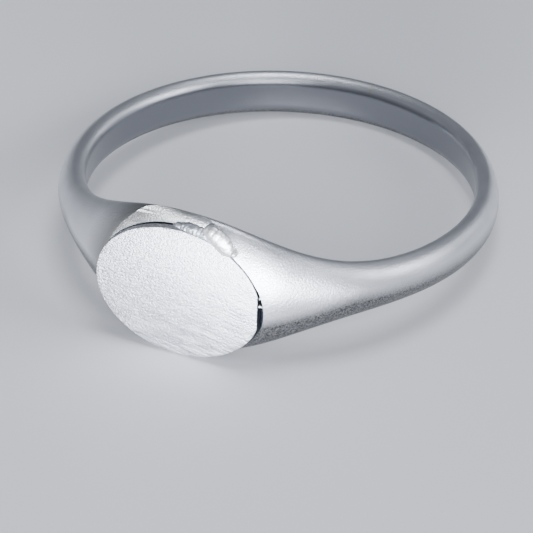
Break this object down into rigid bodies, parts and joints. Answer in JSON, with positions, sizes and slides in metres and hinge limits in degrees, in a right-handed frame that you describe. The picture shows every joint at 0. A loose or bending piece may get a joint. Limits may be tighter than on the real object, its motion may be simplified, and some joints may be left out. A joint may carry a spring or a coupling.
{
  "type": "signet ring",
  "caption": "Signet ring: a round-edged band flares to a broad flat-fronted head that carries a separate oval plate, soldered on, for engraving.",
  "frame": {"origin": "centre of the finger bore, halfway along the band's width at the back", "axes": "+Z along the bore, the head and its plate face -Y, +X along the plate's long axis"},
  "size_m": [0.0196, 0.0194, 0.0069],
  "materials": {
    "shank": "sterling silver, fine emery satin",
    "seam_solder": "hard silver solder, filed flush with the band",
    "film_solder": "hard silver solder film, left dull",
    "face_plate": "sterling silver, brushed along the oval's length",
    "bead_solder": "hard silver solder, bright where it froze",
    "flow_solder": "hard silver solder, rough grey flow"
  },
  "bodies": {
    "root": {"shank": "shank", "shank_seam": "seam_solder", "seat_solder": "film_solder", "face_plate": "face_plate", "solder_bead": "bead_solder", "solder_flow": "flow_solder", "solder_tag_upper": "bead_solder", "solder_tag_lower": "bead_solder"}
  },
  "joints": []
}
